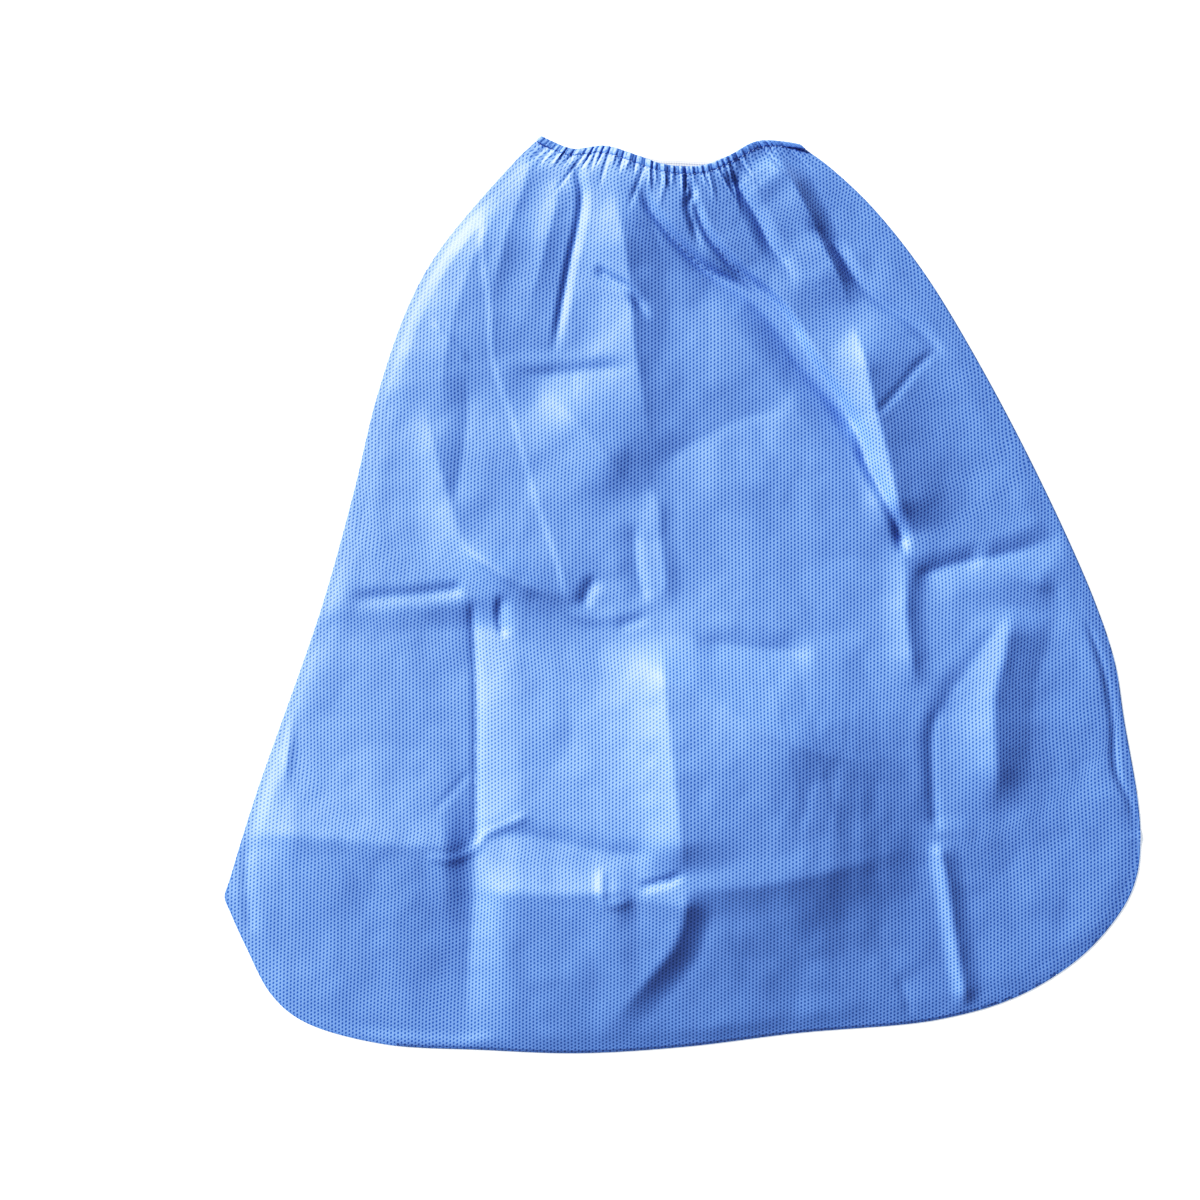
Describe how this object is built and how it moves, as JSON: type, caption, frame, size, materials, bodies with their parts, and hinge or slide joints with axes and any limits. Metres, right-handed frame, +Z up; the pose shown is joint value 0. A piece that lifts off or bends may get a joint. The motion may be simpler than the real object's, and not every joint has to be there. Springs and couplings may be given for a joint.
{
  "type": "disposable boot cover",
  "caption": "Flat-lying disposable boot cover of blue non-woven cloth, with a rounded toe, seamed edge and an elastic gathered mouth that opens for a booted foot.",
  "frame": {"origin": "on the table under the middle of the cover's outline", "axes": "+X from the heel side to the toe side, +Y from the sole to the mouth, +Z up through the upper panel"},
  "size_m": [0.4004, 0.4002, 0.0243],
  "materials": {
    "cloth": "light blue spunbond non-woven with a point-bonded dot pattern, soft sheen",
    "elastic": "white thread-covered elastic, matt"
  },
  "bodies": {
    "root": {"front_panel": "cloth", "back_panel": "cloth", "seam_margin": "cloth", "mouth_hem": "cloth", "elastic": "elastic"}
  },
  "joints": []
}
